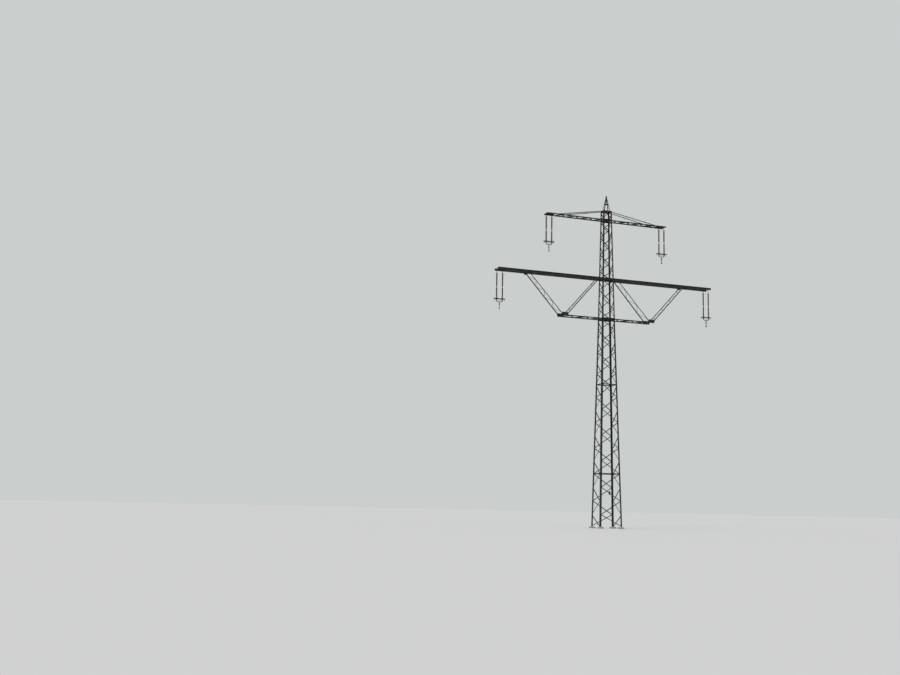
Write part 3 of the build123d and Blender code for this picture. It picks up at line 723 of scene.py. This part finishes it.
def upperLacing(name):
    bm = bmesh.new()
    arm = arms[name]
    thick, stand = upper["thick"], upper["stand"]
    seat = chordBack(arm) + upper["seat"]
    flat = arm["level"] + arm["height"] / 2 + upper["gap"] + thick / 2
    stops = [x for x in lacingStops(name) if x < upper["reach"][name]]
    for hand in both:
        for count, (x, after) in enumerate(zip(stops, stops[1:])):
            side = -1 if count % 2 == 0 else 1
            start = Vector((hand * (x + upper["share"]), side * seat, flat))
            end = Vector((hand * (after - upper["share"]), -side * seat, flat))
            middle = (start + end) / 2
            run = end - start
            turn = Matrix.Rotation(math.atan2(run.y, run.x), 4, "Z")
            addBlock(bm, middle, (run.length + 2 * upper["past"], upper["wide"], thick), turn)
            shift = turn @ Vector((0, (upper["wide"] - thick) / 2, -(stand + thick) / 2))
            addBlock(bm, middle + shift, (run.length - 2 * upper["trim"], thick, stand), turn)
            for spot in (start, end):
                addBolt(bm, spot + Vector((0, 0, thick / 2)), up, upper["bolt"])
    finishSteel(name + "UpperLacing", bm, steel)


for armName in arms:
    armBolts(armName)
for armName in upper["reach"]:
    upperLacing(armName)
tieBolts()
strutBolts()
hangerBolts()
print("arm details made")


# suspension sets: levels are given from the pivot
rod = {"tops": (-0.21, -1.54), "long": 1.2, "cap": 0.09, "core": 0.040, "neck": 0.041,
       "shed": 0.077, "sheds": 22, "round": 20,
       "capLine": ((0.0, 0.0), (0.026, 0.0), (0.031, -0.006), (0.033, -0.016), (0.05, -0.026),
                   (0.056, -0.036), (0.057, -0.05), (0.057, -0.082), (0.052, -0.09), (0.041, -0.09))}


def addRod(bm, x, top):
    core, lip = rod["core"], rod["shed"]
    pitch = (rod["long"] - 2 * rod["cap"]) / rod["sheds"]
    glaze = [(rod["neck"], -rod["cap"])]
    for shed in range(rod["sheds"]):
        z = -rod["cap"] - pitch * shed - 0.005
        glaze += [(core, z), (core + 0.005, z - 0.004), (lip - 0.005, z - 0.016), (lip, z - 0.021),
                  (lip - 0.002, z - 0.027), (lip - 0.009, z - 0.0275), (core + 0.008, z - 0.0255),
                  (core, z - 0.032)]
    glaze.append((rod["neck"], -rod["long"] + rod["cap"]))
    lowCap = [(radius, -rod["long"] - height) for radius, height in reversed(rod["capLine"])]
    for line, index in ((rod["capLine"], 1), (glaze, 0), (lowCap, 1)):
        addSpin(bm, line, (x, 0, top), rod["round"], index)


def rodPiece(name, reach, pivot):
    bm = bmesh.new()
    for end in both:
        for top in rod["tops"]:
            addRod(bm, reach + end * stringHalf, pivot + top)
    bmesh.ops.remove_doubles(bm, verts=bm.verts, dist=1e-6)
    finishHung("rods", name, bm, (porcelain, fittingSteel), "insulators")


# collars: level, radius, height, bevel
fork = {"wide": 0.052, "low": -0.09, "high": 0.026, "apart": 0.014, "thick": 0.01, "edge": 0.0015,
        "block": (0.038, 0.05, 0.05), "blockLevel": -0.07, "blockEdge": 0.006,
        "collars": ((-0.14, 0.027, 0.14, 0.0), (-0.112, 0.035, 0.024, 0.005),
                    (-0.190, 0.041, 0.04, 0.006)),
        "pin": 0.0098, "pinLong": 0.054, "nut": 0.017, "nutTall": 0.007, "nutOut": 0.023}
horn = {"level": -0.192, "reach": 0.125, "thick": 0.010, "middle": 0.07, "long": 0.12,
        "leanX": 0.45, "leanZ": -0.9, "drop": 0.075, "sunk": 0.006, "knob": 0.016,
        "knobLong": 0.026, "knobEdge": 0.006}
link = {"level": -1.475, "collars": ((0.0, 0.024, 0.13, 0.0), (-0.046, 0.036, 0.034, 0.006),
                                     (0.046, 0.036, 0.034, 0.006)),
        "block": (0.070, 0.040, 0.046), "blockEdge": 0.006, "pin": 0.010, "pinLong": 0.066}
ring = {"level": -2.59, "across": 0.25, "along": 0.145, "tube": 0.031, "carrier": 0.011,
        "armMiddle": 0.124, "armLong": 0.23, "post": 0.239, "postLong": 0.15,
        "elbow": (0.03, 0.026, 0.026), "elbowEdge": 0.006, "saddle": (0.03, 0.03, 0.02),
        "saddleDrop": 0.03, "saddleEdge": 0.004}
lower = {"rodsEnd": -2.74, "socket": ((-0.012, 0.031, 0.03, 0.004),), "carrierDrop": 0.011,
         "top": 0.012, "wide": 0.052, "end": -2.841, "apart": 0.0133, "thick": 0.01, "edge": 0.0015,
         "block": (0.05, 0.036, 0.02), "blockDrop": 0.02, "blockEdge": 0.005, "pinLevel": -2.815,
         "pin": 0.010, "pinLong": 0.068, "nut": 0.018, "nutTall": 0.008, "nutOut": 0.0225,
         "split": 0.002, "splitLong": 0.03, "splitOut": 0.031}


def addCollars(bm, x, level, collars):
    for rise, radius, tall, edge in collars:
        addPost(bm, (x, 0, level + rise), up, radius, tall, 12, bevel=edge)


def addFork(bm, x, pivot):
    outline = [(y, pivot + z) for y, z in roundLink(fork["wide"], fork["low"], fork["high"])]
    for hand in both:
        cheek = standing("x", (x + hand * fork["apart"], 0, 0))
        addPlate(bm, outline, cheek, fork["thick"], fork["edge"])
    addBlock(bm, (x, 0, pivot + fork["blockLevel"]), fork["block"], None, fork["blockEdge"], 0, 2)
    addCollars(bm, x, pivot, fork["collars"])
    addPost(bm, (x, 0, pivot), (1, 0, 0), fork["pin"], fork["pinLong"], 12)
    addPost(bm, (x + fork["nutOut"], 0, pivot), (1, 0, 0), fork["nut"], fork["nutTall"], 6)


def addHorns(bm, x, level):
    for hand in both:
        arm = (x + hand * horn["middle"], 0, level)
        addPost(bm, arm, (1, 0, 0), horn["thick"], horn["long"], 10)
        bend = Vector((x + hand * horn["reach"], 0, level))
        drop = Vector((hand * horn["leanX"], 0, horn["leanZ"])).normalized()
        middle = bend + drop * (horn["drop"] / 2 - horn["sunk"])
        addPost(bm, middle, drop, horn["thick"], horn["drop"], 10)
        addPost(bm, bend + drop * horn["drop"], drop, horn["knob"], horn["knobLong"], 10,
                bevel=horn["knobEdge"])


def addLink(bm, x, level):
    addCollars(bm, x, level, link["collars"])
    addBlock(bm, (x, 0, level), link["block"], None, link["blockEdge"], 0, 2)
    addPost(bm, (x, 0, level), (0, 1, 0), link["pin"], link["pinLong"], 10)


def addRing(bm, x, level, carrier):
    addOval(bm, (x, 0, level), ring["across"], ring["along"], ring["tube"])
    for hand in both:
        arm, post = x + hand * ring["armMiddle"], x + hand * ring["post"]
        addPost(bm, (arm, 0, carrier), (1, 0, 0), ring["carrier"], ring["armLong"], 10)
        addPost(bm, (post, 0, (level + carrier) / 2), up, ring["carrier"], ring["postLong"], 10)
        addBlock(bm, (post, 0, carrier), ring["elbow"], None, ring["elbowEdge"], 0, 2)
        saddle = (post, 0, level - ring["saddleDrop"])
        addBlock(bm, saddle, ring["saddle"], None, ring["saddleEdge"])


def addLowerFork(bm, x, pivot, end):
    outline = roundLink(lower["wide"], pivot + lower["end"], end - lower["top"])
    for hand in both:
        cheek = standing("y", (x, hand * lower["apart"], 0))
        addPlate(bm, outline, cheek, lower["thick"], lower["edge"])
    addBlock(bm, (x, 0, end - lower["blockDrop"]), lower["block"], None, lower["blockEdge"], 0, 2)
    pin = pivot + lower["pinLevel"]
    addPost(bm, (x, 0, pin), (0, 1, 0), lower["pin"], lower["pinLong"], 12)
    for hand in both:
        addPost(bm, (x, hand * lower["nutOut"], pin), (0, 1, 0), lower["nut"], lower["nutTall"], 6)
    addPost(bm, (x, lower["splitOut"], pin), (1, 0, 0.4), lower["split"], lower["splitLong"], 6)


def stringPiece(name, reach, pivot):
    bm = bmesh.new()
    end = pivot + lower["rodsEnd"]
    for hand in both:
        x = reach + hand * stringHalf
        addFork(bm, x, pivot)
        addHorns(bm, x, pivot + horn["level"])
        addLink(bm, x, pivot + link["level"])
        addCollars(bm, x, end, lower["socket"])
        addRing(bm, x, pivot + ring["level"], end - lower["carrierDrop"])
        addLowerFork(bm, x, pivot, end)
    finishHung("strings", name, bm, (fittingSteel,), "string_fittings")


yoke = {"pin": -2.815, "low": -2.89, "corner": 0.13, "wide": 0.062, "bend": 0.12, "thick": 0.016,
        "edge": 0.002}


def arc(x, z, radius, angles):
    return [(x + radius * math.cos(a), z + radius * math.sin(a)) for a in angles]


def yokePiece(name, reach, pivot):
    bm = bmesh.new()
    high, low = pivot + yoke["pin"], pivot + yoke["low"]
    half, bend = yoke["wide"] / 2, yoke["bend"]
    slope = math.atan2(high - low, yoke["corner"])
    middle = stringHalf - yoke["corner"] - bend * math.tan(slope / 2)
    bends = [slope * n / 6 - math.pi / 2 for n in range(7)]
    ends = [slope + math.pi * (n / 8 - 0.5) for n in range(9)]
    outer, inner = (arc(middle, low + bend, radius, bends) for radius in (bend + half, bend - half))
    right = outer + arc(stringHalf, high, half, ends) + inner[::-1]
    outline = [(reach + u, z) for u, z in right + [(-u, z) for u, z in reversed(right)]]
    addPlate(bm, outline, standing("y", (0, 0, 0)), yoke["thick"], yoke["edge"])
    finishHung("yokes", name, bm, (fittingSteel,), "yoke")


clamp = {"first": -3.125, "last": -3.525, "half": 0.12, "bore": 0.011, "flare": 0.005,
         "wide": 0.028, "mid": 0.042, "lip": 0.020, "rings": 14, "round": 20}
strap = {"wide": 0.05, "thick": 0.012, "edge": 0.002, "over": 0.025, "under": 0.02,
         "upperOut": 0.0143, "past": 0.042, "lowerOut": 0.034, "nut": 0.014, "nutTall": 0.009,
         "nutRise": 0.026, "nutOut": 0.044, "yokeNut": 0.016, "yokeNutOut": 0.024}
keeper = {"at": (-0.062, 0.062), "size": (0.06, 0.03, 0.009), "rise": 0.034, "edge": 0.002,
          "boltX": 0.02, "bolt": 0.005, "boltLong": 0.082, "boltRise": 0.012, "nut": 0.010,
          "nutTall": 0.009, "nutRise": 0.043}


def addBoat(bm, x, z):
    before = set(bm.verts)
    centre = Vector((x, 0, z))
    stations = [-1 + 2 * n / clamp["rings"] for n in range(clamp["rings"] + 1)]
    swell = [clamp["lip"] + (clamp["mid"] - clamp["lip"]) * (1 - abs(t) ** 2.2) for t in stations]
    mouth = [clamp["bore"] + clamp["flare"] * max(0.0, abs(t) - 0.7) / 0.3 for t in stations]
    outline = list(zip(stations, swell)) + list(zip(stations, mouth))[::-1]
    profile = [bm.verts.new(centre + Vector((0, t * clamp["half"], radius)))
               for t, radius in outline]
    edges = [bm.edges.new(pair) for pair in zip(profile, profile[1:] + profile[:1])]
    bmesh.ops.spin(bm, geom=profile + edges, cent=centre, axis=(0, 1, 0), angle=math.tau,
                   steps=clamp["round"], use_merge=True)
    for v in set(bm.verts) - before:  # narrower than tall, but the bore stays round
        gap = v.co - centre
        if math.hypot(gap.x, gap.z) > clamp["bore"] * 1.6:
            v.co.x = x + gap.x * clamp["wide"] / clamp["mid"]


def addStraps(bm, x, low, first, last):
    upperLink = roundLink(strap["wide"], first + strap["under"], low + strap["over"])
    lowerLink = roundLink(strap["wide"], last - strap["past"], first + strap["past"])
    for hand in both:
        plane = standing("y", (x, hand * strap["upperOut"], 0))
        addPlate(bm, upperLink, plane, strap["thick"], strap["edge"], 1)
        plane = standing("x", (x + hand * strap["lowerOut"], 0, 0))
        addPlate(bm, lowerLink, plane, strap["thick"], strap["edge"], 1)
        for z in (first + strap["nutRise"], last + strap["nutRise"]):
            seat = (x + hand * strap["nutOut"], 0, z)
            addPost(bm, seat, (hand, 0, 0), strap["nut"], strap["nutTall"], 6, 2)
        seat = (x, hand * strap["yokeNutOut"], low)
        addPost(bm, seat, (0, hand, 0), strap["yokeNut"], strap["nutTall"], 6, 2)


def addKeepers(bm, x, z):
    for y in keeper["at"]:
        for hand in both:
            side = x + hand * keeper["boltX"]
            shank, nut = (side, y, z + keeper["boltRise"]), (side, y, z + keeper["nutRise"])
            addPost(bm, shank, up, keeper["bolt"], keeper["boltLong"], 8, 2)
            addPost(bm, nut, up, keeper["nut"], keeper["nutTall"], 6, 2)
        addBlock(bm, (x, y, z + keeper["rise"]), keeper["size"], None, keeper["edge"])


def clampPiece(name, reach, pivot):
    bm = bmesh.new()
    first, last = pivot + clamp["first"], pivot + clamp["last"]
    addStraps(bm, reach, pivot + yoke["low"], first, last)
    for z in (first, last):
        addBoat(bm, reach, z)
        addKeepers(bm, reach, z)
    finishHung("clamps", name, bm, (clampMetal, fittingSteel, boltSteel),
               "conductor_clamps")


for setName, (setReach, setPivot) in sets.items():
    rodPiece(setName, setReach, setPivot)
    stringPiece(setName, setReach, setPivot)
    yokePiece(setName, setReach, setPivot)
    clampPiece(setName, setReach, setPivot)
print("suspension sets made")


# peak and feet
peak = {"base": 30.43, "tall": 1.23, "lowX": 0.330, "lowY": 0.195, "high": 0.068, "plate": 30.4363,
        "plateBolts": ((0.405, 0.2), (0.405, 0.265), (0.34, 0.272)), "plateBolt": 0.022,
        "rises": (0.05, 0.11, 1.09, 1.17), "edge": 0.03, "bolt": 0.016, "bandFoot": 0.65,
        "bandMiddle": 0.685}
wireClamp = {"x": (-0.03, 0.03), "y": (-0.055, 0.055), "washer": 0.014, "washerTall": 0.003,
             "washerAt": 31.9315, "nut": 0.010, "nutTall": 0.008, "nutAt": 31.9365}


def peakCorner(rise):
    share = rise / peak["tall"]
    return [start + (peak["high"] - start) * share for start in (peak["lowX"], peak["lowY"])]


def peakBolts():
    bm = bmesh.new()
    lean = (peak["lowY"] - peak["high"]) / peak["tall"]
    bandX, bandY = peakCorner(peak["bandFoot"])
    bandZ = peak["base"] + peak["bandMiddle"]
    for sx in both:
        for sy in both:
            for x, y in peak["plateBolts"]:
                addBolt(bm, (sx * x, sy * y, peak["plate"]), up, peak["plateBolt"])
            for rise in peak["rises"]:
                x, y = peakCorner(rise)
                seat = (sx * (x - peak["edge"]), sy * y, peak["base"] + rise)
                addBolt(bm, seat, (0, sy, lean), peak["bolt"])
            addBolt(bm, (sx * (bandX - peak["edge"]), sy * bandY, bandZ), (0, sy, 0), peak["bolt"])
            addBolt(bm, (sx * bandX, sy * (bandY - peak["edge"]), bandZ), (sx, 0, 0), peak["bolt"])
    for x in wireClamp["x"]:
        for y in wireClamp["y"]:
            washer, nut = (x, y, wireClamp["washerAt"]), (x, y, wireClamp["nutAt"])
            addPost(bm, washer, up, wireClamp["washer"], wireClamp["washerTall"], 10)
            addPost(bm, nut, up, wireClamp["nut"], wireClamp["nutTall"], 6)
    finishSteel("peakBolts", bm, boltSteel)


foundation = {"size": 0.456, "tall": 0.14, "edge": 0.022, "cuts": 7, "rough": 0.0016, "flat": 0.004}


def concreteFeet():
    bm = bmesh.new()
    rough = random.Random(4)
    size, tall, edge = foundation["size"], foundation["tall"], foundation["edge"]
    inset = body["lowerLeg"] / 2
    for sx in both:
        for sy in both:
            spot = (sx * (halfWidth(tall) - inset), sy * (halfDepth(tall) - inset), tall / 2)
            addBlock(bm, spot, (size, size, tall))
    bevelEdges(bm, [e for e in bm.edges if max(v.co.z for v in e.verts) > tall / 2], edge, 2)
    longEdges = [e for e in bm.edges if e.calc_length() > edge * 2]
    bmesh.ops.subdivide_edges(bm, edges=longEdges, cuts=foundation["cuts"], use_grid_fill=True)
    most = foundation["rough"]
    for v in bm.verts:
        if v.co.z > foundation["flat"]:
            v.co += Vector([rough.uniform(-most, most) for n in range(3)])
    finishPiece("concreteFeet", bm, [concrete], "tower", 35, ["foundation_heads"])


peakBolts()
concreteFeet()
print("peak and feet made")


# camera, floor and light
view = {"turn": 28.2, "far": 105.0, "eye": 1.535, "heading": 20.01, "pitch": 8.83, "roll": 1.2,
        "lens": 44.0, "sensor": 36, "clip": 5000}
ground = {"size": 3000, "drop": 0.002, "paint": (0.64, 0.64, 0.63), "roughness": 0.9}
light = {"sky": (0.75, 0.76, 0.77), "seen": (0.59, 0.62, 0.61), "sun": 1.1, "soft": 25, "tilt": 48,
         "turn": -62}


def addCamera():
    camera = bpy.data.objects.new("photoCamera", bpy.data.cameras.new("photoCamera"))
    bpy.context.scene.collection.objects.link(camera)
    camera.data.lens = view["lens"]
    camera.data.sensor_width = view["sensor"]
    camera.data.clip_end = view["clip"]
    turn = math.radians(view["turn"])
    camera.location = (-view["far"] * math.sin(turn), -view["far"] * math.cos(turn), view["eye"])
    heading = Matrix.Rotation(math.radians(-view["heading"]), 4, "Z")
    tilt = Matrix.Rotation(math.radians(90 + view["pitch"]), 4, "X")
    roll = Matrix.Rotation(math.radians(view["roll"]), 4, "Z")
    camera.rotation_euler = (heading @ tilt @ roll).to_euler()
    bpy.context.scene.camera = camera


def addFloor():
    floorMesh = bpy.data.meshes.new("paleFloor")
    bm = bmesh.new()
    bmesh.ops.create_grid(bm, x_segments=2, y_segments=2, size=ground["size"])
    bmesh.ops.translate(bm, verts=bm.verts, vec=(0, 0, -ground["drop"]))
    bm.to_mesh(floorMesh)
    bm.free()
    floor = bpy.data.objects.new("paleFloor", floorMesh)
    bpy.context.scene.collection.objects.link(floor)
    floorMesh.materials.append(Shade("floorPaint", ground["paint"], ground["roughness"]).material)


def addLight():
    world = bpy.data.worlds.new("softStudio")
    world.use_nodes = True
    sky = Nodes(world.node_tree)
    camera, glossy, through = (sky.node("ShaderNodeLightPath", {}, {}, "Is " + ray + " Ray")
                               for ray in ("Camera", "Glossy", "Transmission"))
    seen = sky.clip(camera + glossy + through)
    background = sky.tree.nodes["Background"]
    sky.feed(background.inputs["Color"], sky.mix(seen, light["sky"], light["seen"]))
    bpy.context.scene.world = world
    sun = bpy.data.objects.new("softSun", bpy.data.lights.new("softSun", "SUN"))
    sun.data.energy = light["sun"]
    sun.data.angle = math.radians(light["soft"])
    sun.rotation_euler = (math.radians(light["tilt"]), 0, math.radians(light["turn"]))
    bpy.context.scene.collection.objects.link(sun)


addCamera()
addFloor()
addLight()
bpy.context.scene.view_settings.view_transform = "Standard"
print("camera and light set")
